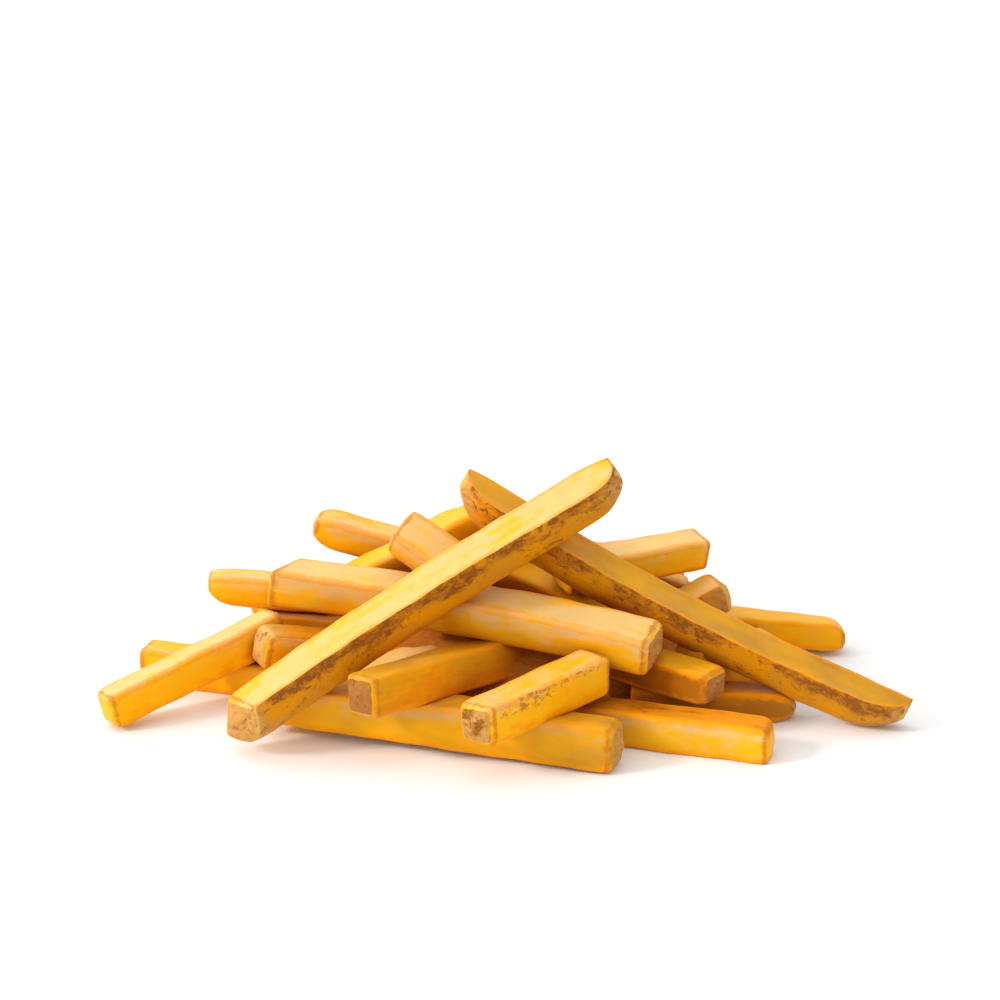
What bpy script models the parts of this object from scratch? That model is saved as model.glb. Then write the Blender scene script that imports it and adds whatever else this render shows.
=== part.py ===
"""A heap of thick-cut french fries with some potato skin left on, fused into one body.

The fries lie crosswise over each other. Sizes in the list are millimetres, and the heap is
built about the point on the floor that MIDDLE names, then moved so that this point is the origin.
"""
import math

import bmesh
import bpy
from mathutils import Vector

MM = 0.001
MIDDLE = Vector((1.07, 14.08, 0.0))     # the heap's middle on the floor
CORE_MIDDLE = Vector((0.0, 22.0, 0.0))
EDGE_CUT = 0.9                        # flat cut along each edge of a fry
GOLD = (0.86, 0.55, 0.17, 1.0)


def fry(name, start, end, width, height, roll=0.0, slant=(0.0, 0.0), lean=(0.0, 0.0),
        noses=(None, None), bow=0.0):
    """One fry, from its start to its end.

    width, height and roll are one number or a pair for the two ends.
    slant pushes each end face along the fry at its far side, lean at its top.
    noses rounds the ends: each is a length, then what the far, near, top and under sides lose there.
    bow is how far the middle stands off upwards.
    """
    pair = lambda value: value if isinstance(value, tuple) else (value, value)
    return {"name": name, "ends": (Vector(start), Vector(end)), "width": pair(width), "height": pair(height),
            "roll": pair(roll), "slant": slant, "lean": lean, "noses": noses, "bow": bow}


SKIN_END = (3.0, 1.3, 1.1, 1.1, 1.4)    # a nose for an end that is cut flat but for its skin

# The fries that make the front of the heap, the two long ones on top first
FRONT = [
    fry("long_left", (-60.8, -24.8, 8), (28.2, 10.6, 55.8), (9.2, 9.2), (10.4, 10.2), (13, 23), bow=1.9,
        slant=(-2.5, 0), lean=(2.6, 0), noses=((7, 1.6, 0.8, 0.8, 0.8), (9, 0.6, 7.6, 0.4, 2.8))),
    fry("long_right", (-9.8, 15.3, 51.2), (94.4, -10, 2.6), (9.2, 8.2), (9.5, 9.6), (14, 22), bow=-4,
        noses=((12, 0.8, 7.6, 0.4, 5.4), (13, 0.3, 7.2, 0.3, 4.6))),
    fry("middle", (-18, 5, 26.5), (36.8, -10.3, 20.6), (9.9, 10.3), (9.8, 10.3), (11, 18), bow=0.9,
        slant=(0, 0.8), noses=(None, (3, 1.2, 1, 1, 1.6))),
    fry("front_short", (-6, -40.5, 14.2), (23.4, -12.6, 16.8), 9.1, 9.5, (-2, 2), slant=(-1.5, 0),
        noses=((3, 1.8, 1, 1.2, 1.5), (4, 1, 1.6, 1, 2.6))),
    fry("front_left", (-32.5, -31.5, 17.5), (5, 6, 14), 9.6, 9.6, -8, noses=(SKIN_END, None)),
    fry("floor_front", (-54.3, -8.4, 8.2), (27.6, -32, 5.5), 9.6, (9.9, 10.8), (3, -3),
        noses=(None, SKIN_END)),
    fry("floor_right", (0, -6.9, 4.6), (62.9, -26.2, 4.3), 9.3, (8.7, 9), noses=(None, (4, 3.2, 0.4, 1.8, 0.5))),
    fry("floor_far_right", (31, -1, 4), (69.8, -2.5, 3.5), (9.4, 8.2), (9, 7.6),
        noses=(None, (9, 1, 3, 3.4, 2.4))),
    fry("floor_middle", (-16.5, 3, 4), (26, -2, 4), 8.8, (8.8, 8.6)),
    fry("under_middle", (-36.5, -6, 8.5), (-1, 12, 14), 8.8, 8.8),
    fry("right_inner", (19.6, 9.6, 13.3), (50.6, -13.4, 12.2), 9.4, (8.2, 7.6), (3, -2), noses=(None, SKIN_END)),
    fry("left_low", (-92.5, -9.2, 4.8), (-53.3, 17.3, 15.5), (7.9, 8.2), (8.4, 8.5), (-3, -11),
        noses=((3, 0.9, 0.9, 0.9, 0.9), None)),
    fry("left_floor", (-85.9, 22, 4.4), (-48, 10, 4.2), 8.4, 9),
    fry("left_inner", (-57.5, 4.5, 15.5), (-37, 13.5, 10.5), 9, 9, noses=((4, 1, 0.6, 2.4, 0.8), None)),
    fry("left_upper", (-52.1, 21.1, 25.5), (-14.6, 17.5, 21.4), 9.7, 9.6, (6, 15), slant=(3.3, 0)),
    fry("left_back", (-71.1, 34, 19.6), (-41.4, 34, 17), (9.2, 9.3), (7.2, 7.6), (-5, -2),
        noses=((7, 1, 1, 1.2, 5), None)),
    fry("left_under", (-57.5, 32, 10), (-27, 30, 8), 8.2, 8.2),
    fry("top_left", (-45.4, 44, 31.9), (-12.5, 42, 22.4), 9, (7.3, 7.7), (4, 2), noses=((6, 5, 1, 1.2, 3.4), None)),
    fry("top_facing", (-24.1, 20, 39.3), (-3.5, 12, 26.5), 9.6, 9.6, 35, noses=((3, 0.9, 0.9, 0.9, 0.9), None)),
    fry("top_rising", (-36.5, 28, 21.5), (-2.5, 38, 36), 8.6, 8.6),
    fry("top_inner", (-1, 25.5, 25.4), (29, 19, 15), 9, 9, 10),
    fry("right_upper", (15, 17, 29.3), (49.1, 39.6, 27.1), (8.8, 8.2), (8.6, 7.9), 11),
    fry("right_rising", (35, 24, 11), (54.7, 32.5, 18.7), 9, (9, 8.6), noses=(None, (3, 1.6, 1, 1.2, 2))),
    fry("right_sloping", (24, 38.5, 21.3), (45.5, 39.5, 14.4), 8, 8),
    fry("right_back", (50.3, 39.9, 7.2), (84.9, 39.4, 4.2), 9.5, (7.8, 6.9), (1, -10),
        noses=(None, (6, 3, 1.2, 3.4, 1.2))),
]

# The fries behind and under them
BACK = [
    fry("back_a", (-56, 53, 5), (-10.5, 54.5, 4.5), 9.2, 8.8, 2),
    fry("back_b", (-27, 22, 4), (32.5, 29, 4.5), 9.6, 9.3, -2),
    fry("back_c", (-12, 56, 4), (44, 34, 4.5), 9.4, 9.1, 1, noses=(None, SKIN_END)),
    fry("back_d", (-29.5, 33, 16), (20, 35.5, 26.2), 9.1, 8.7, 6),
    fry("back_e", (-0.5, 23.5, 13), (-11, 69, 12.5), 8.8, 9.2, 4, noses=(None, SKIN_END)),
    fry("back_f", (-44, 40, 12.5), (-7, 67.5, 23.5), 9.3, 8.9, -5, noses=(None, (6, 1, 3, 1, 3))),
    fry("back_g", (-6, 65, 4.5), (55, 56.5, 5), 9.7, 9.2, 3, noses=(None, SKIN_END)),
    fry("back_h", (-16.5, 51, 24.5), (45, 48.5, 13.5), 9.2, 8.8, -7, bow=0.5),
    fry("back_i", (5, 26, 38.5), (14, 66, 20.5), 8.5, 8.8, 8, noses=(None, SKIN_END)),
    fry("back_j", (-44, -3, 3.5), (-41, 50, 4), 9.1, 8.9, -3),
    fry("back_k", (25, 6, 5), (63.5, 32, 4), 9.3, 8.6, 2),
    fry("back_l", (-9, 63, 4), (-63, 65, 4.5), 8.9, 9.4, -2, noses=(None, (7, 3, 1, 2, 1))),
    fry("back_m", (-1.5, 11.5, 11.5), (24.5, 43, 13.5), 8.9, 9.3, 5),
    fry("back_o", (43, 56.5, 15.3), (-3, 64.5, 14.5), 9.4, 9, -4, noses=((7, 1, 3, 1, 2), None)),
    fry("back_p", (44, 1, 12.3), (63, 21, 5), 8.7, 8.9, -3),
    fry("back_q", (60, 33, 4), (72, 10, 4.5), 9, 8.6, 2, noses=(None, SKIN_END)),
]


def axes(item, share):
    """Along, far-side and top directions of a fry, turned by its roll at this share of its length."""
    along = (item["ends"][1] - item["ends"][0]).normalized()
    far = Vector((0, 0, 1)).cross(along).normalized()
    top = along.cross(far)
    roll = math.radians(item["roll"][0] + (item["roll"][1] - item["roll"][0]) * share)
    return along, far * math.cos(roll) + top * math.sin(roll), top * math.cos(roll) - far * math.sin(roll)


def narrowing(item, distance, length):
    """What the far, near, top and under sides have lost at this distance from the start."""
    lost = [0.0] * 4
    for nose, away in zip(item["noses"], (distance, length - distance)):
        if nose and away < nose[0]:
            share = 1 - math.sqrt(1 - min(1 - away / nose[0], 0.95) ** 2)
            lost = [depth * share for depth in nose[1:]]
    return lost


def place(item, distance, far_side, top_side):
    """Where a corner of the fry's section lies; far_side and top_side are -1 or 1."""
    start, end = item["ends"]
    length = (end - start).length
    share = distance / length
    along, far, top = axes(item, share)
    lost = narrowing(item, distance, length)
    half_width = (item["width"][0] + (item["width"][1] - item["width"][0]) * share) / 2
    half_height = (item["height"][0] + (item["height"][1] - item["height"][0]) * share) / 2
    sideways = far_side * (half_width - lost[0 if far_side > 0 else 1])
    upwards = top_side * (half_height - lost[2 if top_side > 0 else 3])
    at_end = 0 if distance == 0 else 1 if distance == length else None
    push = 0.0 if at_end is None else far_side * item["slant"][at_end] + top_side * item["lean"][at_end]
    middle = start.lerp(end, share) + top * item["bow"] * math.sin(math.pi * share)
    return (middle + far * sideways + top * upwards + along * push - MIDDLE) * MM


def stations(item):
    """Where along the fry its section is set, closer together where an end rounds in."""
    length = (item["ends"][1] - item["ends"][0]).length
    near_end = []
    for nose, slant in zip(item["noses"], item["slant"]):
        shares = () if not nose else (1,) if slant else (0.35, 1) if nose[0] > 5 else (0.55,)
        near_end.append([nose[0] * share for share in shares])
    middle = [length * share for share in ((0.27, 0.5, 0.73) if item["bow"] else ())]
    return [0.0, *near_end[0], *middle, *(length - away for away in reversed(near_end[1])), length]


def fry_block(item, group):
    """A long box cut across at its stations, shaped by the list, with its edges cut flat."""
    bm = bmesh.new()
    bmesh.ops.create_cube(bm, size=1.0)
    lengthwise = [e for e in bm.edges if abs(e.verts[0].co.x - e.verts[1].co.x) > 0.5]
    marks = stations(item)
    bmesh.ops.subdivide_edges(bm, edges=lengthwise, cuts=len(marks) - 2)
    for vert in bm.verts:
        mark = marks[round((vert.co.x + 0.5) * (len(marks) - 1))]
        vert.co = place(item, mark, 1 if vert.co.y > 0 else -1, 1 if vert.co.z > 0 else -1)
    bm.normal_update()
    sharp = [e for e in bm.edges if e.calc_face_angle(0.0) > math.radians(45)]
    bmesh.ops.bevel(bm, geom=sharp, offset=EDGE_CUT * MM, segments=1, affect="EDGES")
    bmesh.ops.recalc_face_normals(bm, faces=bm.faces)
    return as_object(bm, item["name"], group)


def as_object(bm, name, group):
    mesh = bpy.data.meshes.new(name)
    bm.to_mesh(mesh)
    bm.free()
    obj = bpy.data.objects.new(name, mesh)
    group.objects.link(obj)
    return obj


def core(group):
    """The packed inside of the heap, a low dome that no one sees."""
    bm = bmesh.new()
    bmesh.ops.create_icosphere(bm, subdivisions=2, radius=1.0)
    for vert in bm.verts:
        across, deep, high = vert.co
        vert.co = (Vector((across * 50, deep * 33, high * 27)) + CORE_MIDDLE - MIDDLE) * MM
    return as_object(bm, "core", group)


def combine(target, operation, solver, group=None, tool=None):
    modifier = target.modifiers.new(operation.lower(), "BOOLEAN")
    modifier.operation = operation
    modifier.solver = solver
    if group:
        modifier.operand_type = "COLLECTION"
        modifier.collection = group
    else:
        modifier.object = tool
    bpy.context.view_layer.objects.active = target
    bpy.ops.object.modifier_apply(modifier=modifier.name)


def remove(objects):
    for obj in list(objects):
        bpy.data.objects.remove(obj, do_unlink=True)


def islands(bm):
    """The separate closed shells of a mesh."""
    left, found = set(bm.faces), []
    while left:
        stack, shell = [left.pop()], []
        while stack:
            face = stack.pop()
            shell.append(face)
            for edge in face.edges:
                for other in edge.link_faces:
                    if other in left:
                        left.remove(other)
                        stack.append(other)
        found.append(shell)
    return found


def shell_volume(shell):
    total = 0.0
    for face in shell:
        first = face.verts[0].co
        for a, b in zip(face.verts[1:-1], face.verts[2:]):
            total += first.dot(a.co.cross(b.co)) / 6
    return total


def keep_outer_shell(obj):
    """Fills hollows that fusing sealed and drops loose scraps."""
    bm = bmesh.new()
    bm.from_mesh(obj.data)
    shells = sorted(islands(bm), key=shell_volume)
    extra = [face for shell in shells[:-1] for face in shell]
    bmesh.ops.delete(bm, geom=extra, context="FACES")
    bm.to_mesh(obj.data)
    bm.free()


def fried_potato():
    material = bpy.data.materials.new("fried_potato")
    material.use_nodes = True
    shader = material.node_tree.nodes["Principled BSDF"]
    shader.inputs["Base Color"].default_value = GOLD
    shader.inputs["Roughness"].default_value = 0.5
    return material


def build():
    remove(bpy.data.objects)
    heap_group = bpy.data.collections.new("pile_of_fries")
    loose_group = bpy.data.collections.new("loose_fries")
    for group in (heap_group, loose_group):
        bpy.context.scene.collection.children.link(group)
    heap = core(heap_group)
    heap.name = heap.data.name = "fries_heap"
    for item in FRONT + BACK:
        fry_block(item, loose_group)
    combine(heap, "UNION", "MANIFOLD", group=loose_group)
    remove(loose_group.objects)
    bpy.data.collections.remove(loose_group)
    bpy.ops.mesh.primitive_cube_add(size=1, location=(0, 0, -0.05), scale=(0.5, 0.5, 0.1))
    below = bpy.context.object
    combine(heap, "DIFFERENCE", "MANIFOLD", tool=below)
    remove([below])
    keep_outer_shell(heap)
    heap.data.materials.clear()
    heap.data.materials.append(fried_potato())


build()
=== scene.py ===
"""A heap of thick-cut, skin-on french fries, lit and seen as in the photograph.

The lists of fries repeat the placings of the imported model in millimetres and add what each
surface looks like. Every fry is one closed mesh, swept from its start to its end.
"""
import math

import bpy
import numpy as np
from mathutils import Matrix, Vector, noise
from mathutils.bvhtree import BVHTree


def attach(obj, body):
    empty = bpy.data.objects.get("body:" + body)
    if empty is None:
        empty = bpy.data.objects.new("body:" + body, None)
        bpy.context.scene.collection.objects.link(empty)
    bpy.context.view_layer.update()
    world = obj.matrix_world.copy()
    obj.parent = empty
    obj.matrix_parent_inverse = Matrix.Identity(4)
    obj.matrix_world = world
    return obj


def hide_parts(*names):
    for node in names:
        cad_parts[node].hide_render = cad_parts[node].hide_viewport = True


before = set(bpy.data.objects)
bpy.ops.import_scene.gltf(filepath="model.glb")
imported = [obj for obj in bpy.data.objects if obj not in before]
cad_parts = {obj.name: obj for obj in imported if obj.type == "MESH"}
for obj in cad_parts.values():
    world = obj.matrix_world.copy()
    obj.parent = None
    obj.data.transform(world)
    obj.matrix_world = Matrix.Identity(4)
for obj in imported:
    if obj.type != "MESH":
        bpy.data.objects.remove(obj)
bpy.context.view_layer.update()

MM = 0.001
MIDDLE = Vector((1.07, 14.08, 0.0))     # the heap's middle on the floor
SIDES = ("far", "near", "top", "under")
SKIN_END = (3.0, 1.3, 1.1, 1.1, 1.4)    # a nose for an end that is cut flat but for its skin


def both_ends(value):
    """The value at the start and at the end of a fry, from one number or a pair."""
    return value if isinstance(value, tuple) else (value, value)


def fry(name, start, end, width, height, roll=0.0, slant=(0.0, 0.0), lean=(0.0, 0.0), noses=(None, None),
        bow=0.0, caps=(None, None), top=0.8, near=0.15, skins=(), flecks=0.0, shade_painted=0.0):
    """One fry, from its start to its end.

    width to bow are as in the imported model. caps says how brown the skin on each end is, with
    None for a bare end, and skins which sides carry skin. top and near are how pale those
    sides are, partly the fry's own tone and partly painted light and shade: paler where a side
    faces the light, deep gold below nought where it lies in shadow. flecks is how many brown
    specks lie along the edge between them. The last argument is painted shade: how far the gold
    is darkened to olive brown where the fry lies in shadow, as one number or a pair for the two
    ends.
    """
    return {"name": name, "ends": (Vector(start), Vector(end)), "width": both_ends(width),
            "height": both_ends(height), "roll": both_ends(roll), "slant": slant, "lean": lean,
            "noses": noses, "bow": bow, "caps": caps, "top": top, "near": near, "skins": skins,
            "flecks": flecks, "shade_painted": both_ends(shade_painted)}


# In the lists below, tones of top and near under nought and the olive-brown darkening are painted shade on
# fries that lie in shadow; higher tones are partly painted light, on sides that face it.
SKIN_ON = [
    fry("long_left", (-60.8, -24.8, 8), (28.2, 10.6, 55.8), (9.2, 9.2), (10.4, 10.2), (13, 23),
        bow=1.9, slant=(-2.5, 0), lean=(2.6, 0),
        noses=((7, 1.6, 0.8, 0.8, 0.8), (9, 0.6, 7.6, 0.4, 2.8)), caps=(0.2, 0.4), top=0.9, near=0.3,
        skins=("near",), flecks=0.9),
    fry("long_right", (-9.8, 15.3, 51.2), (94.4, -10, 2.6), (9.2, 8.2), (9.5, 9.6), (14, 22),
        bow=-4, noses=((12, 0.8, 7.6, 0.4, 5.4), (13, 0.3, 7.2, 0.3, 4.6)), caps=(0.1, 0.5), top=0.6,
        near=0.3, skins=("near",), flecks=0.8, shade_painted=(0.55, 0.7)),
    fry("middle", (-18, 5, 26.5), (36.8, -10.3, 20.6), (9.9, 10.3), (9.8, 10.3), (11, 18),
        bow=0.9, slant=(0, 0.8), noses=(None, (3, 1.2, 1, 1, 1.6)), caps=(None, 0.6), top=0.95,
        near=0.45),
    fry("front_short", (-6, -40.5, 14.2), (23.4, -12.6, 16.8), 9.1, 9.5, (-2, 2),
        slant=(-1.5, 0), noses=((3, 1.8, 1, 1.2, 1.5), (4, 1, 1.6, 1, 2.6)), caps=(0.25, 0.5), top=0.7,
        near=0.15, flecks=0.8),
    fry("front_left", (-32.5, -31.5, 17.5), (5, 6, 14), 9.6, 9.6, -8,
        noses=(SKIN_END, None), caps=(0.9, None), top=0.4, near=-0.3, shade_painted=0.4),
    fry("floor_front", (-54.3, -8.4, 8.2), (27.6, -32, 5.5), 9.6, (9.9, 10.8), (3, -3),
        noses=(None, SKIN_END), caps=(None, 0.4), top=0.5, near=0.35, shade_painted=(0.25, 0.6)),
    fry("floor_far_right", (31, -1, 4), (69.8, -2.5, 3.5), (9.4, 8.2), (9, 7.6),
        noses=(None, (9, 1, 3, 3.4, 2.4)), caps=(None, 0.9), top=-0.6, near=-1.4, shade_painted=0.5),
    fry("right_inner", (19.6, 9.6, 13.3), (50.6, -13.4, 12.2), 9.4, (8.2, 7.6), (3, -2),
        noses=(None, SKIN_END), caps=(None, 0.7), top=0.3, near=-1.4, shade_painted=0.4),
    fry("left_inner", (-57.5, 4.5, 15.5), (-37, 13.5, 10.5), 9, 9,
        noses=((4, 1, 0.6, 2.4, 0.8), None), caps=(0.1, None), top=0.8, near=0.25, skins=("top",)),
    fry("left_back", (-71.1, 34, 19.6), (-41.4, 34, 17), (9.2, 9.3), (7.2, 7.6), (-5, -2),
        noses=((7, 1, 1, 1.2, 5), None), caps=(0.3, None), top=0.85, near=0.3),
    fry("top_left", (-45.4, 44, 31.9), (-12.5, 42, 22.4), 9, (7.3, 7.7), (4, 2),
        noses=((6, 5, 1, 1.2, 3.4), None), caps=(0.1, None), top=0.9, near=0.3),
    fry("right_rising", (35, 24, 11), (54.7, 32.5, 18.7), 9, (9, 8.6),
        noses=(None, (3, 1.6, 1, 1.2, 2)), caps=(None, 0.4), top=0.8, near=0.3, skins=("near",),
        flecks=0.4, shade_painted=0.2),
]

PLAIN = [
    fry("floor_right", (0, -6.9, 4.6), (62.9, -26.2, 4.3), 9.3, (8.7, 9),
        noses=(None, (4, 3.2, 0.4, 1.8, 0.5)), top=-0.6, near=0.5, shade_painted=(0.8, 0.1)),
    fry("floor_middle", (-16.5, 3, 4), (26, -2, 4), 8.8, (8.8, 8.6)),
    fry("under_middle", (-36.5, -6, 8.5), (-1, 12, 14), 8.8, 8.8, near=0.4),
    fry("left_low", (-92.5, -9.2, 4.8), (-53.3, 17.3, 15.5), (7.9, 8.2), (8.4, 8.5), (-3, -11),
        noses=((3, 0.9, 0.9, 0.9, 0.9), None), top=0.95, near=0.1),
    fry("left_floor", (-85.9, 22, 4.4), (-48, 10, 4.2), 8.4, 9, top=0.5),
    fry("left_upper", (-52.1, 21.1, 25.5), (-14.6, 17.5, 21.4), 9.7, 9.6, (6, 15),
        slant=(3.3, 0), top=1.05, near=0.65),
    fry("left_under", (-57.5, 32, 10), (-27, 30, 8), 8.2, 8.2, near=0.0),
    fry("top_facing", (-24.1, 20, 39.3), (-3.5, 12, 26.5), 9.6, 9.6, 35,
        noses=((3, 0.9, 0.9, 0.9, 0.9), None), top=1.0, near=0.7),
    fry("top_rising", (-36.5, 28, 21.5), (-2.5, 38, 36), 8.6, 8.6, top=0.35, near=0.1),
    fry("top_inner", (-1, 25.5, 25.4), (29, 19, 15), 9, 9, 10, top=0.4, near=0.1),
    fry("right_upper", (15, 17, 29.3), (49.1, 39.6, 27.1), (8.8, 8.2), (8.6, 7.9), 11, top=1.05, near=0.25),
    fry("right_sloping", (24, 38.5, 21.3), (45.5, 39.5, 14.4), 8, 8, top=0.6),
    fry("right_back", (50.3, 39.9, 7.2), (84.9, 39.4, 4.2), 9.5, (7.8, 6.9), (1, -10),
        noses=(None, (6, 3, 1.2, 3.4, 1.2)), caps=(None, 0.8), top=0.3, near=0.0, shade_painted=0.25),
]

BACK = [
    fry("back_a", (-56, 53, 5), (-10.5, 54.5, 4.5), 9.2, 8.8, 2),
    fry("back_b", (-27, 22, 4), (32.5, 29, 4.5), 9.6, 9.3, -2),
    fry("back_c", (-12, 56, 4), (44, 34, 4.5), 9.4, 9.1, 1, noses=(None, SKIN_END), caps=(None, 0.3)),
    fry("back_d", (-29.5, 33, 16), (20, 35.5, 26.2), 9.1, 8.7, 6),
    fry("back_e", (-0.5, 23.5, 13), (-11, 69, 12.5), 8.8, 9.2, 4, noses=(None, SKIN_END), caps=(None, 0.5)),
    fry("back_f", (-44, 40, 12.5), (-7, 67.5, 23.5), 9.3, 8.9, -5,
        noses=(None, (6, 1, 3, 1, 3)), caps=(None, 0.2)),
    fry("back_g", (-6, 65, 4.5), (55, 56.5, 5), 9.7, 9.2, 3,
        noses=(None, SKIN_END), caps=(None, 0.6), skins=("far",), flecks=0.6),
    fry("back_h", (-16.5, 51, 24.5), (45, 48.5, 13.5), 9.2, 8.8, -7, bow=0.5, skins=("far",), flecks=0.8),
    fry("back_i", (5, 26, 38.5), (14, 66, 20.5), 8.5, 8.8, 8, noses=(None, SKIN_END), caps=(None, 0.3)),
    fry("back_j", (-44, -3, 3.5), (-41, 50, 4), 9.1, 8.9, -3),
    fry("back_k", (25, 6, 5), (63.5, 32, 4), 9.3, 8.6, 2),
    fry("back_l", (-9, 63, 4), (-63, 65, 4.5), 8.9, 9.4, -2, noses=(None, (7, 3, 1, 2, 1)), caps=(None, 0.4)),
    fry("back_m", (-1.5, 11.5, 11.5), (24.5, 43, 13.5), 8.9, 9.3, 5),
    fry("back_o", (43, 56.5, 15.3), (-3, 64.5, 14.5), 9.4, 9, -4,
        noses=((7, 1, 3, 1, 2), None), caps=(0.6, None)),
    fry("back_p", (44, 1, 12.3), (63, 21, 5), 8.7, 8.9, -3),
    fry("back_q", (60, 33, 4), (72, 10, 4.5), 9, 8.6, 2, noses=(None, SKIN_END), caps=(None, 0.5)),
]


# The form of a fry

STATION_STEP = 1.0                      # between the sections of a fry
FEWEST_STATIONS = 3
ARC_POINTS = 5                          # points round each long edge
SIDE_POINTS = 7                         # points across each side, between the edges
FACE_RINGS = (0.2, 0.4, 0.6, 0.8, 0.92) # rings across an end, as shares of its size
RIM_ANGLES = (0, 18, 36, 54, 72, 90)    # rings round the rim of an end
BARE_ROUNDING = 0.9                     # of the rim of a bare end
SKIN_ROUNDING = 2.0                     # of the rim of an end with skin
MOST_ROUNDING = 0.55                    # share of half an end that its rounding may take
BARE_BULGE = 0.15                       # how far a bare end swells
SKIN_BULGE = 0.4                        # share of its rounding that an end with skin swells
SLANT_REACH = 6                         # how far from an end its slant is felt
LEAST_LEFT = 0.3                        # share of a section that its inset leaves at least
WAVE_PERIODS = (34.0, 19.0, 11.0)
WAVE_TURN = 6.28
WAVE_SIZE = 0.16
CUT_EDGE = (0.85, 1.2)                  # least and most radius of an edge between cut sides
CRISP_EDGE = 0.45                       # radius where skin meets the top
SOFT_EDGE = 1.8                         # radius where skin folds under
ROUNDEST = 0.8                          # share of half a section that an edge may take
DEEP_NOSE = 2                           # sides that a nose narrows by more than this swell out
NOSE_SWELL = 0.45                       # share of what they were narrowed by
SKIN_SWELL = 0.5                        # how far a side with skin stands off


def section_columns():
    """Points round a square with rounded edges.

    Each is its far and top shares, its outward direction, the edge it starts from and how far
    it has come to the next edge.
    """
    corners = ((1, 1), (-1, 1), (-1, -1), (1, -1))
    columns = []
    for n, (a, b) in enumerate(corners):
        for k in range(ARC_POINTS):
            angle = math.radians(90 * (n + k / (ARC_POINTS - 1)))
            columns.append((a, b, math.cos(angle), math.sin(angle), n, 0.0))
        a2, b2 = corners[(n + 1) % 4]
        angle = math.radians(90 * (n + 1))
        for k in range(1, SIDE_POINTS + 1):
            way = k / (SIDE_POINTS + 1)
            columns.append((a + (a2 - a) * way, b + (b2 - b) * way, math.cos(angle), math.sin(angle), n, way))
    return np.array(columns)


COLUMNS = section_columns()


def end_rings(rounding, bulge):
    """Rings of one end from its middle outwards: distance in from the end, inset, share of the size."""
    found = []
    for share in FACE_RINGS:
        found.append((-bulge * (1 - share ** 2), rounding, share))
    for angle in RIM_ANGLES:
        turn = math.radians(angle)
        found.append((rounding * (1 - math.cos(turn)), rounding * (1 - math.sin(turn)), 1.0))
    return found


def rings(length, roundings, bulges):
    """Distance from the start, inset and share of every ring, from one end's middle to the other's."""
    first, last = (end_rings(*both) for both in zip(roundings, bulges))
    body_start, body_end = roundings[0], length - roundings[1]
    count = max(FEWEST_STATIONS, round((body_end - body_start) / STATION_STEP))
    body = [(body_start + (body_end - body_start) * k / count, 0.0, 1.0) for k in range(1, count)]
    return np.array(first + body + [(length - away, inset, share) for away, inset, share in reversed(last)])


def end_sizes(item):
    """How far each end is rounded and bulges, within what its nose leaves of it."""
    roundings, bulges = [], []
    for n, (tone, nose) in enumerate(zip(item["caps"], item["noses"])):
        _, far, near, top, under = nose or (0, 0, 0, 0, 0)
        left = min(item["width"][n] - far - near, item["height"][n] - top - under) / 2
        rounding = min(BARE_ROUNDING if tone is None else SKIN_ROUNDING, MOST_ROUNDING * left)
        roundings.append(rounding)
        bulges.append(BARE_BULGE if tone is None else SKIN_BULGE * rounding)
    return roundings, bulges


def wave(distance, rng):
    """A slow, seeded waver along a fry."""
    total = np.zeros_like(distance)
    for period in WAVE_PERIODS:
        start = rng.uniform(0, WAVE_TURN)
        strength = rng.uniform(0.3, 1.0)
        total += np.sin(2 * math.pi * distance / period + start) * strength
    return total * WAVE_SIZE / 2


def narrowing(item, distance, length):
    """What each side has lost at these distances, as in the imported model."""
    lost = {side: np.zeros_like(distance) for side in SIDES}
    for nose, away in zip(item["noses"], (distance, length - distance)):
        if nose:
            share = 1 - np.sqrt(1 - np.clip(1 - away / nose[0], 0, 1) ** 2)
            for side, depth in zip(SIDES, nose[1:]):
                lost[side] = lost[side] + depth * share
    return lost


def directions(item, share):
    """Along, far-side and top directions at each share of the length."""
    along = (item["ends"][1] - item["ends"][0]).normalized()
    far = Vector((0, 0, 1)).cross(along).normalized()
    top = along.cross(far)
    roll = np.radians(item["roll"][0] + (item["roll"][1] - item["roll"][0]) * share)[:, None, None]
    along, far, top = (np.array(v)[None, None, :] for v in (along, far, top))
    return along, far * np.cos(roll) + top * np.sin(roll), top * np.cos(roll) - far * np.sin(roll)


def edge_radii(item, rng):
    """Radius of each long edge; skin meets a cut side at a crisp edge and folds softly elsewhere."""
    radii = rng.uniform(*CUT_EDGE, 4)
    for side, upper, lower in (("near", 1, 2), ("far", 0, 3)):
        if side in item["skins"]:
            radii[upper], radii[lower] = CRISP_EDGE, SOFT_EDGE
    return radii


def half_and_middle(one, other, inset, share):
    """Half of each ring's size between two opposite sides, and how far off its middle is."""
    whole = (one + other) / 2
    half = (np.maximum(whole - inset, LEAST_LEFT * whole) * share)[:, None]
    return half, ((one - other) / 2)[:, None]


def swell_out(item, lost, share, across, upward):
    """Rounds out the sides with skin and those that a nose narrows deeply, all but the top."""
    a, b, out_a, out_b = (COLUMNS[None, :, k] for k in range(4))
    for side in ("near", "under", "far"):
        from_nose = NOSE_SWELL * lost[side][:, None] * (lost[side].max() > DEEP_NOSE)
        stands_off = from_nose + SKIN_SWELL * (side in item["skins"])
        if side == "under":
            upward -= stands_off * np.clip(-out_b, 0, 1) ** 4 * (1 - a ** 2) * share[:, None]
        else:
            sign = 1 if side == "far" else -1
            across += sign * stands_off * np.clip(sign * out_a, 0, 1) ** 4 * (1 - b ** 2) * share[:, None]


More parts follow.
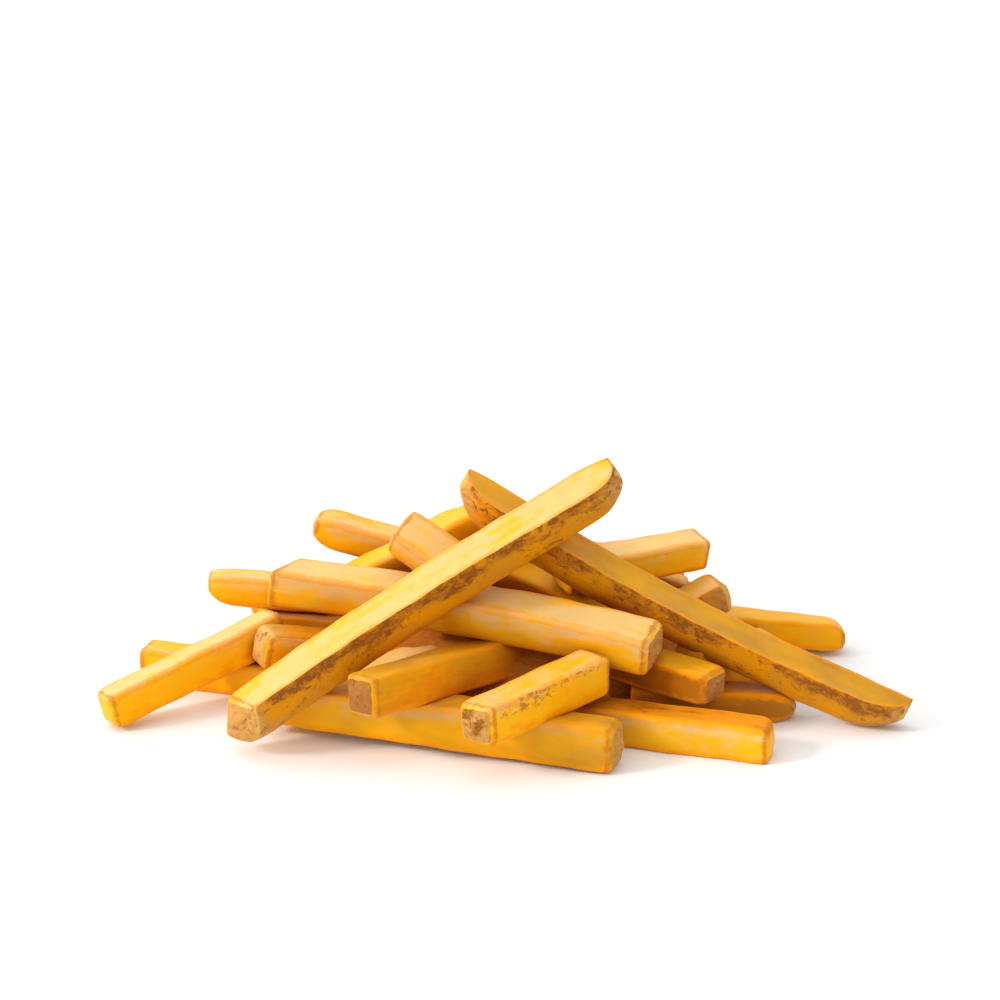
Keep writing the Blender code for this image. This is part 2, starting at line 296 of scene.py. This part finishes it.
def section(item, rng, distance, inset, share, length):
    """Where the points of every ring lie across and up from the fry's middle line."""
    part = np.clip(distance / length, 0, 1)
    lost = narrowing(item, np.clip(distance, 0, length), length)
    reach = {}
    for side in SIDES:
        ends = item["width"] if side in ("far", "near") else item["height"]
        reach[side] = (ends[0] + (ends[1] - ends[0]) * part) / 2 - lost[side] + wave(distance, rng)
    half_w, mid_w = half_and_middle(reach["far"], reach["near"], inset, share)
    half_h, mid_h = half_and_middle(reach["top"], reach["under"], inset, share)
    a, b, out_a, out_b, edge, way = (COLUMNS[None, :, k] for k in range(6))
    radii = edge_radii(item, rng)
    edge = edge.astype(int)
    corner = (radii[edge] * (1 - way) + radii[(edge + 1) % 4] * way) * share[:, None]
    corner = np.minimum(corner, ROUNDEST * np.minimum(half_w, half_h))
    across = mid_w + a * (half_w - corner) + out_a * corner
    upward = mid_h + b * (half_h - corner) + out_b * corner
    swell_out(item, lost, share, across, upward)
    return {"across": across, "upward": upward, "half_w": half_w, "half_h": half_h,
            "lost": lost, "part": part}


def slanted(item, across, upward, distance, length):
    """How far every point moves along, so that the ends are cut aslant."""
    push = np.zeros_like(across)
    for n, away in enumerate((distance, length - distance)):
        tilt = across / item["width"][n] * item["slant"][n] + upward / item["height"][n] * item["lean"][n]
        push += 2 * tilt * np.clip(1 - away / SLANT_REACH, 0, 1)[:, None]
    return push


def fry_mesh(item, seed):
    """Vertices, faces and surface values of one fry; the middles of its two ends come last."""
    rng = np.random.default_rng(seed)
    start, end = (np.array(p - MIDDLE) for p in item["ends"])
    length = float(np.linalg.norm(end - start))
    roundings, bulges = end_sizes(item)
    distance, inset, share = rings(length, roundings, bulges).T
    form = section(item, rng, distance, inset, share, length)
    across, upward, part = form["across"], form["upward"], form["part"]
    push = slanted(item, across, upward, distance, length)
    along, far, top = directions(item, part)
    spine = start + (end - start) * (distance / length)[:, None]
    raised = upward + item["bow"] * np.sin(math.pi * part)[:, None]
    points = spine[:, None, :] + far * across[:, :, None]
    points = points + top * raised[:, :, None] + along * push[:, :, None]
    values = surface_values(item, seed, form, distance, inset, share, length, roundings)
    count, wide = across.shape
    poles = [points[0].mean(0), points[-1].mean(0)]
    vertices = np.concatenate([points.reshape(-1, 3), np.array(poles)])
    with_poles = {}
    for name, value in values.items():
        flat = value.reshape(count * wide, -1)
        with_poles[name] = np.concatenate([flat, flat[:1], flat[-1:]])
    return vertices * MM, tube_faces(count, wide), with_poles


def tube_faces(count, wide):
    """Faces of a closed tube whose two end middles follow its rings."""
    faces = []
    for r in range(count - 1):
        for c in range(wide):
            d = (c + 1) % wide
            faces.append((r * wide + c, r * wide + d, (r + 1) * wide + d, (r + 1) * wide + c))
    first, last = count * wide, count * wide + 1
    for c in range(wide):
        d = (c + 1) % wide
        faces.append((first, d, c))
        faces.append((last, (count - 1) * wide + c, (count - 1) * wide + d))
    return faces


# What the surface of a fry carries

SEED_GAP = 173.0                        # along the grain, from one fry to the next
FLAT_SIDE = 0.99                        # least sideways share of the outward direction on a side
ROUNDING_SHARE = 0.8                    # of the way over the rounding, counted from the rim
FACE_REACH = 4.5                        # from the rounding to the middle of an end
NO_EDGE = 9.0                           # distance to an edge where there is none
END_FADE = 8                            # how slowly the end's look fades along the skin
NOSE_DEPTH = 1.5                        # how much a nose narrows a side from bare to skinned
NOSE_BARE = 0.6                         # shares of that depth that stay bare
FAR_TONE = 0.25                         # how pale the far side, the underside and bare ends are
UNDER_TONE = 0.2
END_TONE = 0.3
NEAR_SHADING_PAINT = 0.35                        # painted shading: how much paler the near side is at its upper edge, where it faces more light, and less pale at its lower edge
NEAR_SHIFT = 0.1
TOP_FADE = 0.1                          # how much less pale the top is at its far edge
FLECK_SPREAD = 16.0                     # square of the distance that flecks reach off their edge
TOP_ONLY = 0.9                          # least upward share of the outward direction on the top


def stacked(shape, *values):
    """Values of the same points, side by side."""
    return np.stack([np.broadcast_to(value, shape) for value in values], -1)


def side_weights():
    """How far each point round a section belongs to each side."""
    out_a, out_b = COLUMNS[None, :, 2], COLUMNS[None, :, 3]
    return {"far": np.clip(out_a, 0, 1), "near": np.clip(-out_a, 0, 1),
            "top": np.clip(out_b, 0, 1), "under": np.clip(-out_b, 0, 1)}


def edge_values(form, distance, inset, share, length, roundings):
    """Distances to the nearest edge and to the rim of the nearer end, and which points are end face."""
    a, b, out_a = (COLUMNS[None, :, k] for k in range(3))
    beside = np.abs(out_a) > FLAT_SIDE
    to_edge = np.where(beside, (1 - np.abs(b)) * form["half_h"], (1 - np.abs(a)) * form["half_w"])
    roundings = np.where(distance < length / 2, roundings[0], roundings[1])
    from_end = np.minimum(distance, length - distance)
    over_rim = inset + np.clip(roundings - from_end, 0, None)
    into_face = ROUNDING_SHARE * over_rim + (1 - share) * FACE_REACH
    to_rim = np.maximum(into_face, from_end - roundings)[:, None]
    edge = np.minimum(np.where(share[:, None] < 1, NO_EDGE, to_edge), to_rim)
    return edge, to_rim, np.clip(inset / roundings, 0, 1)[:, None]


def skin_values(item, form, weights, end_face, distance, length):
    """Where the skin is, how far it is like the end's, and how brown it is there."""
    skin = np.zeros_like(form["across"])
    for side in item["skins"]:
        skin = np.maximum(skin, weights[side])
    end_skin, brown = np.zeros_like(distance), np.zeros_like(distance)
    for tone, away in zip(item["caps"], (distance, length - distance)):
        if tone is None:
            continue
        here = away < length / 2
        end_skin += here * np.exp(-np.clip(away, 0, None) / END_FADE)
        brown += here * tone
        skin = np.maximum(skin, np.clip(2 * end_face, 0, 1) * here[:, None])
        for side in ("near", "under", "far"):
            thick = np.clip(form["lost"][side] / NOSE_DEPTH - NOSE_BARE, 0, 1) * here
            skin = np.maximum(skin, weights[side] * thick[:, None])
    return skin, end_skin[:, None], brown[:, None]


def pale_values(item, weights, end_face):
    """How pale every point is, from the tones of the sides and the ends, with painted shading down the near
    side.
    """
    a, b = COLUMNS[None, :, 0], COLUMNS[None, :, 1]
    tones = {"far": FAR_TONE, "near": item["near"], "top": item["top"], "under": UNDER_TONE}
    pale = sum(weights[side] ** 2 * tones[side] for side in SIDES) * (1 - end_face) + END_TONE * end_face
    # painted shading: the near side paler towards its top and darker towards its bottom
    pale = pale + NEAR_SHADING_PAINT * (b + NEAR_SHIFT) * weights["near"] * (1 - end_face)
    return pale - TOP_FADE * (a + 1) * weights["top"]


def surface_values(item, seed, form, distance, inset, share, length, roundings):
    """What the material needs at each point.

    grain is the place along, across and up in mm. looks is the distance to the nearest edge in
    mm, the skin and the paleness, which is partly painted light and shade. spots is the specks,
    the end face and the painted shade, an olive-brown darkening on fries in shadow. ends is
    the distance to the rim of the end face, how far the skin is like the end's, and how brown.
    """
    a, b, _, out_b = (COLUMNS[None, :, k] for k in range(4))
    weights = side_weights()
    edge, to_rim, end_face = edge_values(form, distance, inset, share, length, roundings)
    skin, end_skin, brown = skin_values(item, form, weights, end_face, distance, length)
    off_crease = ((a + 1) * form["half_w"]) ** 2 + ((b - 1) * form["half_h"]) ** 2
    specks = np.exp(-off_crease / FLECK_SPREAD) * item["flecks"] * (out_b < TOP_ONLY)
    shade_painted = item["shade_painted"][0] + (item["shade_painted"][1] - item["shade_painted"][0]) * form["part"][:, None]
    along = distance[:, None] + SEED_GAP * seed
    shape = form["across"].shape
    return {"grain": stacked(shape, along, form["across"], form["upward"]),
            "looks": stacked(shape, edge, skin, pale_values(item, weights, end_face)),
            "spots": stacked(shape, specks, end_face, shade_painted),
            "ends": stacked(shape, to_rim, end_skin, brown)}


# Relief, and how closed in each place is, for the painted contact shade

RELIEF = ((0.14, (0.10, 0.22, 0.22)),   # height in mm, and scale along, across and up
          (0.03, (0.45, 0.8, 0.8)))
SKIN_RELIEF = 0.06                      # height of what skin adds
SKIN_GRAIN = 1.3
LOOK_OUT = 30 * MM                      # how far off a fry still closes in another
LOOK_DIRECTIONS = 26
LOOK_START = 0.4                        # off the surface, in mm
LOOK_TURN = math.radians(137.5)
LEAST_FACING = 0.15                     # directions nearer to the surface than this don't count
NO_LOOKS = 1e-9
EVENING_ROUNDS = 30


def roughen(mesh, grain, skin):
    """Moves every vertex a little along its normal, more on skin than on flesh."""
    count = len(mesh.vertices)
    points, normals = np.empty(count * 3), np.empty(count * 3)
    mesh.vertices.foreach_get("co", points)
    mesh.vertices.foreach_get("normal", normals)
    shift = np.empty(count)
    for n, (g, s) in enumerate(zip(grain, skin)):
        p = Vector(g)
        relief = sum(size * noise.noise(Vector((p.x * x, p.y * y, p.z * z))) for size, (x, y, z) in RELIEF)
        shift[n] = relief + s * SKIN_RELIEF * noise.noise(p * SKIN_GRAIN)
    points = points.reshape(-1, 3) + normals.reshape(-1, 3) * shift[:, None] * MM
    points[:, 2] = np.maximum(points[:, 2], 0)      # settled on the ground
    mesh.vertices.foreach_set("co", points.ravel())
    mesh.update()


def look_directions():
    """Directions spread evenly over a ball."""
    found = []
    for k in range(LOOK_DIRECTIONS):
        up = 1 - (2 * k + 1) / LOOK_DIRECTIONS
        flat = math.sqrt(1 - up * up)
        turn = k * LOOK_TURN
        found.append(Vector((flat * math.cos(turn), flat * math.sin(turn), up)))
    return found


def occluded_share(vertex, looks, tree):
    """The share of the directions before a vertex that soon meet another fry."""
    start = vertex.co + vertex.normal * LOOK_START * MM
    met, all_looks = 0.0, NO_LOOKS
    for direction in looks:
        weight = direction.dot(vertex.normal)
        if weight > LEAST_FACING:
            all_looks += weight
            met += weight * (tree.ray_cast(start, direction, LOOK_OUT)[0] is not None)
    return met / all_looks


def paint_contact_shade(pieces):
    """Gives every vertex of the pieces how closed in it is, which the potato material paints as contact
    shade.
    """
    vertices, faces = [], []
    for piece in pieces:
        base = len(vertices)
        vertices.extend(v.co.copy() for v in piece.data.vertices)
        faces.extend([i + base for i in face.vertices] for face in piece.data.polygons)
    tree = BVHTree.FromPolygons(vertices, faces)
    looks = look_directions()
    for piece in pieces:
        found = np.array([occluded_share(vertex, looks, tree) for vertex in piece.data.vertices])
        edges = np.array([edge.vertices for edge in piece.data.edges])
        shares = evened_out(found, edges, EVENING_ROUNDS)
        piece.data.attributes.new("contact_shade_share", "FLOAT", "POINT").data.foreach_set("value", shares)


def evened_out(values, edges, rounds):
    """The values of a mesh's points after each has moved towards its neighbours' mean."""
    count = len(values)
    neighbours = np.bincount(edges.ravel(), minlength=count)
    for _ in range(rounds):
        total = np.bincount(edges[:, 0], values[edges[:, 1]], count)
        total += np.bincount(edges[:, 1], values[edges[:, 0]], count)
        values = (values + total / neighbours) / 2
    return values


# The pieces

CORE_MIDDLE = Vector((0.0, 22.0, 0.0))
CORE_ROWS = 24
CORE_AROUND = 72
CORE_SIZE = (48, 31, 25)                # half its length, half its depth and its height
CORE_LUMPS = 9
LUMP_DEPTH = 0.04                       # share of the size


def linked(name, data):
    """A new object in the scene."""
    obj = bpy.data.objects.new(name, data)
    bpy.context.scene.collection.objects.link(obj)
    return obj


def as_piece(mesh):
    """A visible piece of the heap with this mesh."""
    obj = linked(mesh.name, mesh)
    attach(obj, "root")
    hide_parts("fries_heap")
    return obj


def joined(name, items, first_seed, material):
    """All fries of one kind as a single piece."""
    vertices, faces, values, base = [], [], {}, 0
    for n, item in enumerate(items):
        places, quads, found = fry_mesh(item, first_seed + n)
        vertices.append(places)
        faces.extend(tuple(i + base for i in face) for face in quads)
        base += len(places)
        for key, value in found.items():
            values.setdefault(key, []).append(value)
    mesh = bpy.data.meshes.new(name)
    mesh.from_pydata(np.concatenate(vertices).tolist(), [], faces)
    mesh.polygons.foreach_set("use_smooth", [True] * len(mesh.polygons))
    for key, parts in values.items():
        attribute = mesh.attributes.new(key, "FLOAT_VECTOR", "POINT")
        attribute.data.foreach_set("vector", np.concatenate(parts).astype(np.float32).ravel())
    roughen(mesh, np.concatenate(values["grain"]), np.concatenate(values["looks"])[:, 1])
    mesh.materials.append(material)
    return as_piece(mesh)


def core(material):
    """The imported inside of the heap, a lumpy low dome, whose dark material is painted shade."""
    vertices, faces = [], []
    for r in range(CORE_ROWS + 1):
        lift = math.radians(90 * r / CORE_ROWS)
        for c in range(CORE_AROUND):
            turn = 2 * math.pi * c / CORE_AROUND
            unit = Vector((math.cos(lift) * math.cos(turn), math.cos(lift) * math.sin(turn), math.sin(lift)))
            lump = 1 - LUMP_DEPTH * (1 + noise.noise(unit * CORE_LUMPS))
            place = Vector([u * size for u, size in zip(unit, CORE_SIZE)]) * lump + CORE_MIDDLE - MIDDLE
            vertices.append(place * MM)
    for r in range(CORE_ROWS):
        row = r * CORE_AROUND
        for c in range(CORE_AROUND):
            d = (c + 1) % CORE_AROUND
            faces.append((row + c, row + d, row + CORE_AROUND + d, row + CORE_AROUND + c))
    faces.append(tuple(reversed(range(CORE_AROUND))))
    mesh = bpy.data.meshes.new("packed_inside_shade_paint")
    mesh.from_pydata(vertices, [], faces)
    mesh.polygons.foreach_set("use_smooth", [len(face) == 4 for face in faces])
    mesh.materials.append(material)
    return as_piece(mesh)


# Materials

def settle(node, settings):
    """Sets numbers and colours on a node's own sockets."""
    for key, value in settings.items():
        node.inputs[key].default_value = value


class Nodes:
    """Short ways to add shader nodes to one material."""

    def __init__(self, name):
        self.material = bpy.data.materials.new(name)
        self.material.use_nodes = True
        self.tree = self.material.node_tree
        self.shader = self.tree.nodes["Principled BSDF"]

    def feed(self, socket, value):
        if isinstance(value, bpy.types.NodeSocket):
            self.tree.links.new(value, socket)
        elif value is not None:
            socket.default_value = value

    def attribute(self, name, output="Vector"):
        node = self.tree.nodes.new("ShaderNodeAttribute")
        node.attribute_name = name
        return node.outputs[output]

    def parts(self, vector):
        node = self.tree.nodes.new("ShaderNodeSeparateXYZ")
        self.feed(node.inputs[0], vector)
        return node.outputs[0], node.outputs[1], node.outputs[2]

    def stretch(self, vector, scale):
        node = self.tree.nodes.new("ShaderNodeMapping")
        self.feed(node.inputs["Vector"], vector)
        settle(node, {"Scale": scale})
        return node.outputs[0]

    def noise(self, vector, scale=1.0, detail=3, roughness=0.5, distortion=0.0):
        node = self.tree.nodes.new("ShaderNodeTexNoise")
        self.feed(node.inputs["Vector"], vector)
        settle(node, {"Scale": scale, "Detail": detail, "Roughness": roughness, "Distortion": distortion})
        return node.outputs["Fac"]

    def step(self, value, low, high, out_low=0.0, out_high=1.0):
        """Goes smoothly from out_low to out_high as value goes from low to high."""
        node = self.tree.nodes.new("ShaderNodeMapRange")
        node.interpolation_type = "SMOOTHSTEP"
        self.feed(node.inputs["Value"], value)
        settle(node, {"From Min": low, "From Max": high, "To Min": out_low, "To Max": out_high})
        return node.outputs["Result"]

    def math(self, operation, first, second=None, third=None):
        node = self.tree.nodes.new("ShaderNodeMath")
        node.operation = operation
        for socket, value in zip(node.inputs, (first, second, third)):
            self.feed(socket, value)
        return node.outputs[0]

    def sway(self, value, around, amount):
        """value, moved up and down by how far the noise around is off its middle."""
        return self.math("MULTIPLY_ADD", self.math("SUBTRACT", around, 0.5), amount, value)

    def mix(self, share, first, second):
        node = self.tree.nodes.new("ShaderNodeMix")
        node.data_type = "RGBA"
        self.feed(node.inputs["Factor"], share)
        self.feed(node.inputs[6], first)
        self.feed(node.inputs[7], second)
        return node.outputs[2]

    def bump(self, height, strength, distance, normal=None):
        node = self.tree.nodes.new("ShaderNodeBump")
        self.feed(node.inputs["Height"], height)
        settle(node, {"Strength": strength, "Distance": distance})
        self.feed(node.inputs["Normal"], normal)
        return node.outputs["Normal"]


CREAM = (0.77, 0.50, 0.18, 1)
PALE_GOLD = (0.88, 0.445, 0.012, 1)
GOLD = (0.92, 0.415, 0.001, 1)
DEEP_GOLD = (0.86, 0.28, 0.001, 1)
# painted shade: the darkest flesh, on sides in deep shadow, and the inside of the heap
BROWN_SHADE_PAINT = (0.38, 0.10, 0.002, 1)
# painted shade: olive brown for fries that lie in shadow
OLIVE_SHADE_PAINT = (0.44, 0.185, 0.016, 1)
# painted contact shade: the deep orange-brown laid where other fries close a place in
CONTACT_SHADE_PAINT = (0.34, 0.052, 0.001, 1)
TOAST = (0.42, 0.135, 0.014, 1)
SKIN_GOLD = (0.68, 0.25, 0.001, 1)
SKIN_TAN = (0.60, 0.24, 0.008, 1)
END_TAN = (0.60, 0.30, 0.075, 1)
END_BROWN = (0.36, 0.13, 0.03, 1)
END_RIM = (0.78, 0.45, 0.11, 1)
FLECK = (0.23, 0.065, 0.013, 1)

# From and to which paleness each colour comes in over the one before; the brown and deep gold at
# the low end are painted shade on sides in shadow, and the cream at the high end is partly painted light
PALE_STEPS = ((-1.2, -0.6, DEEP_GOLD), (-0.5, 0.0, GOLD), (-0.05, 0.5, PALE_GOLD), (0.40, 0.95, CREAM))
POTATO = {"Specular IOR Level": 0.3, "Specular Tint": (1.0, 0.70, 0.12, 1), "Subsurface Weight": 0.15,
          "Subsurface Radius": (1.0, 0.40, 0.12), "Subsurface Scale": 0.0022}
FLOOR = {"Base Color": (0.88, 0.88, 0.88, 1), "Roughness": 0.8}


def flesh_colour(n, grain, edge, to_rim, pale, shade_painted):
    """Cream on the paler sides, gold on the others and along the edges; the paleness is partly the fry's own
    and partly painted light and shade, and the olive brown is painted shade.
    """
    streak = n.noise(n.stretch(grain, (0.10, 0.5, 0.5)), detail=4, roughness=0.55)
    mottle = n.noise(n.stretch(grain, (0.28, 0.45, 0.45)), detail=4, roughness=0.6)
    cloud = n.noise(n.stretch(grain, (0.07, 0.15, 0.15)), detail=2)
    for around, amount in ((streak, 0.8), (cloud, 1.1), (mottle, 1.0)):
        pale = n.sway(pale, around, amount)
    flesh = BROWN_SHADE_PAINT
    for low, high, colour in PALE_STEPS:
        flesh = n.mix(n.step(pale, low, high), flesh, colour)
    # painted shade: olive brown on fries that lie in shadow
    swayed_shade_paint = n.sway(shade_painted, cloud, amount=0.8)
    flesh = n.mix(n.step(swayed_shade_paint, low=0.0, high=1.0), flesh, OLIVE_SHADE_PAINT)
    ragged_edge = n.sway(edge, n.noise(grain, scale=0.4, detail=2), amount=2.4)
    flesh = n.mix(n.step(ragged_edge, low=0.8, high=0.1, out_high=0.5), flesh, DEEP_GOLD)
    ragged_rim = n.sway(to_rim, mottle, amount=3.0)
    return n.mix(n.step(ragged_rim, low=0.9, high=0.0, out_high=0.6), flesh, TOAST), streak


def fleck_share(n, grain, thick):
    """Brown specks and short wandering cracks, in clusters and more of them where thick is high."""
    cluster = n.noise(n.stretch(grain, (0.08, 0.22, 0.22)), detail=2)
    density = n.sway(thick, cluster, amount=3.6)
    speck = n.noise(n.stretch(grain, (0.45, 0.7, 0.7)), detail=5, roughness=0.7, distortion=0.6)
    specks = n.step(n.math("MULTIPLY_ADD", density, 0.12, speck), low=0.60, high=0.70)
    wander = n.noise(n.stretch(grain, (0.4, 0.6, 0.6)), detail=3, roughness=0.6, distortion=0.8)
    off_line = n.math("ABSOLUTE", n.math("SUBTRACT", wander, 0.5))
    on_line = n.step(off_line, low=0.025, high=0.004)
    lines = n.math("MULTIPLY", on_line, n.step(density, low=0.5, high=0.9))
    return n.math("MAXIMUM", specks, lines), density


def skin_colour(n, grain, to_rim, end_skin, brown, thick):
    """Golden on the sides, with toasted patches and flecks; tan to brown on and near the ends."""
    patch = n.noise(n.stretch(grain, (0.11, 0.3, 0.3)), roughness=0.55)
    mottle = n.noise(grain, scale=0.7, detail=4, roughness=0.65)
    side = n.mix(n.step(patch, low=0.42, high=0.6), SKIN_GOLD, SKIN_TAN)
    browned = n.sway(brown, mottle, amount=1.8)
    end = n.mix(n.step(browned, low=0.0, high=1.0), END_TAN, END_BROWN)
    ragged_rim = n.sway(to_rim, mottle, amount=2.4)
    end = n.mix(n.step(ragged_rim, low=0.9, high=0.3, out_high=0.75), end, END_RIM)
    near_end = n.sway(end_skin, patch, amount=0.9)
    skin = n.mix(n.step(near_end, low=0.25, high=0.8), side, end)
    thick = n.math("MULTIPLY", thick, n.step(end_skin, low=0.3, high=1.0, out_low=1.0, out_high=0.45))
    flecks, density = fleck_share(n, grain, thick)
    toasted = n.sway(density, mottle, amount=1.2)
    skin = n.mix(n.step(toasted, low=0.35, high=0.9, out_high=0.75), skin, TOAST)
    return n.mix(n.math("MULTIPLY", flecks, 0.8), skin, FLECK), flecks


def fried_potato():
    """Flesh and skin of every fry, from the values that its mesh carries."""
    n = Nodes("fried_potato_skin_on")
    grain = n.attribute("grain")
    edge, skin_side, pale = n.parts(n.attribute("looks"))
    specks, _, shade_painted = n.parts(n.attribute("spots"))
    to_rim, end_skin, brown = n.parts(n.attribute("ends"))
    flesh, streak = flesh_colour(n, grain, edge, to_rim, pale, shade_painted)
    ragged_skin = n.sway(skin_side, n.noise(grain, scale=0.5, detail=4, roughness=0.6), amount=0.5)
    skin_here = n.step(ragged_skin, low=0.44, high=0.56)
    skin, flecks = skin_colour(n, grain, to_rim, end_skin, brown, specks)
    bare_flecks = n.math("MULTIPLY", flecks, n.step(specks, low=0.15, high=0.6, out_high=0.8))
    colour = n.mix(skin_here, n.mix(bare_flecks, flesh, TOAST), skin)
    # painted contact shade: deep orange-brown wherever other fries close a place in, standing in for the
    # shade between them
    closed = n.step(n.attribute("contact_shade_share", "Fac"), low=0.45, high=0.95, out_high=0.85)
    n.feed(n.shader.inputs["Base Color"], n.mix(closed, colour, CONTACT_SHADE_PAINT))
    flesh_rough = n.step(streak, low=0.3, high=0.7, out_low=0.42, out_high=0.55)
    n.feed(n.shader.inputs["Roughness"], n.math("MULTIPLY_ADD", skin_here, 0.12, flesh_rough))
    settle(n.shader, POTATO)
    pores = n.noise(grain, scale=2.2, detail=4, roughness=0.6)
    puckers = n.math("SUBTRACT", n.noise(grain, detail=4, roughness=0.6, distortion=0.6), flecks)
    relief = n.bump(pores, strength=0.3, distance=0.0002)
    relief = n.bump(streak, strength=0.3, distance=0.0005, normal=relief)
    wrinkles = n.math("MULTIPLY", puckers, skin_here)
    relief = n.bump(wrinkles, strength=0.6, distance=0.0004, normal=relief)
    n.feed(n.shader.inputs["Normal"], relief)
    return n.material


def inside_shade_paint():
    """Painted shade for the inside of the heap: brown streaks for fries packed too deep to be made out, kept
    dark to stand for the shade deep in the heap.
    """
    n = Nodes("packed_fries_shade_paint")
    place = n.tree.nodes.new("ShaderNodeTexCoord").outputs["Object"]
    streak = n.noise(n.stretch(place, (200, 700, 700)), roughness=0.6)
    n.feed(n.shader.inputs["Base Color"], n.mix(n.step(streak, low=0.3, high=0.7), BROWN_SHADE_PAINT, TOAST))
    rough = n.step(streak, low=0.3, high=0.7, out_low=0.5, out_high=0.65)
    n.feed(n.shader.inputs["Roughness"], rough)
    settle(n.shader, {"Specular IOR Level": 0.1})
    n.feed(n.shader.inputs["Normal"], n.bump(streak, strength=0.6, distance=0.001))
    return n.material


# Stage, light and camera

FLOOR_HALF = 3.0                        # in metres, as all of what follows
SUN_ENERGY = 1.5
SUN_ANGLE = math.radians(12)
SUN_COLOUR = (1.0, 0.97, 0.92)
SUN_WAY = Vector((-0.81, -0.27, 0.52))
LAMP_ENERGY = 0.4
LAMP_SIZE = 0.3
LAMP_PLACE = (-0.24, 0.28, 0.30)
BRIGHT_WAY = Vector((-0.66, -0.12, 0.74))
SURROUND = {"From Min": -0.6, "To Min": 0.66, "To Max": 1.32}
CAMERA_RISE = math.radians(20)
CAMERA_AWAY = 0.9
CAMERA_AIM = Vector((0, 0, 54)) * MM - MIDDLE * MM
SENSOR_WIDTH = 36
LENS = 139.3
NEAREST = 0.05


def pale_floor():
    """Near-white ground under the heap."""
    mesh = bpy.data.meshes.new("floor")
    corners = [(x * FLOOR_HALF, y * FLOOR_HALF, 0) for x, y in ((-1, -1), (1, -1), (1, 1), (-1, 1))]
    mesh.from_pydata(corners, [], [(0, 1, 2, 3)])
    floor = linked("floor", mesh)
    n = Nodes("floor_white")
    settle(n.shader, FLOOR)
    mesh.materials.append(n.material)


def look_from(obj, way):
    """Turns a lamp or the camera so that it looks against this direction."""
    obj.rotation_euler = way.to_track_quat("Z", "Y").to_euler()


def lamps():
    """A soft sun from the left, and a lamp behind."""
    key = linked("key", bpy.data.lights.new("key", "SUN"))
    key.data.energy = SUN_ENERGY
    key.data.angle = SUN_ANGLE
    key.data.color = SUN_COLOUR
    look_from(key, SUN_WAY)
    behind = linked("behind", bpy.data.lights.new("behind", "AREA"))
    behind.data.energy = LAMP_ENERGY
    behind.data.size = LAMP_SIZE
    behind.location = LAMP_PLACE
    look_from(behind, behind.location)


def surround():
    """White all around, brightest left and above."""
    world = bpy.data.worlds.new("studio")
    bpy.context.scene.world = world
    world.use_nodes = True
    nodes, links = world.node_tree.nodes, world.node_tree.links
    facing = nodes.new("ShaderNodeVectorMath")
    facing.operation = "DOT_PRODUCT"
    links.new(nodes.new("ShaderNodeTexCoord").outputs["Generated"], facing.inputs[0])
    facing.inputs[1].default_value = BRIGHT_WAY
    strength = nodes.new("ShaderNodeMapRange")
    links.new(facing.outputs["Value"], strength.inputs["Value"])
    settle(strength, SURROUND)
    settle(nodes["Background"], {"Color": (1, 1, 1, 1)})
    links.new(strength.outputs["Result"], nodes["Background"].inputs["Strength"])


def camera():
    """The viewer of the photograph."""
    data = bpy.data.cameras.new("camera")
    data.sensor_width = SENSOR_WIDTH
    data.lens = LENS
    data.clip_start = NEAREST
    obj = linked("camera", data)
    bpy.context.scene.camera = obj
    back = Vector((0, -math.cos(CAMERA_RISE), math.sin(CAMERA_RISE)))
    obj.location = CAMERA_AIM + back * CAMERA_AWAY
    look_from(obj, back)


def main():
    """Builds the heap, its stage and its light."""
    potato = fried_potato()
    kinds = (("skin_on_fries", SKIN_ON, 1), ("plain_fries", PLAIN, 31), ("back_fries", BACK, 61))
    paint_contact_shade([joined(name, items, first_seed, potato) for name, items, first_seed in kinds])
    core(inside_shade_paint())
    pale_floor()
    lamps()
    surround()
    camera()
    bpy.context.scene.view_settings.view_transform = "Standard"


main()
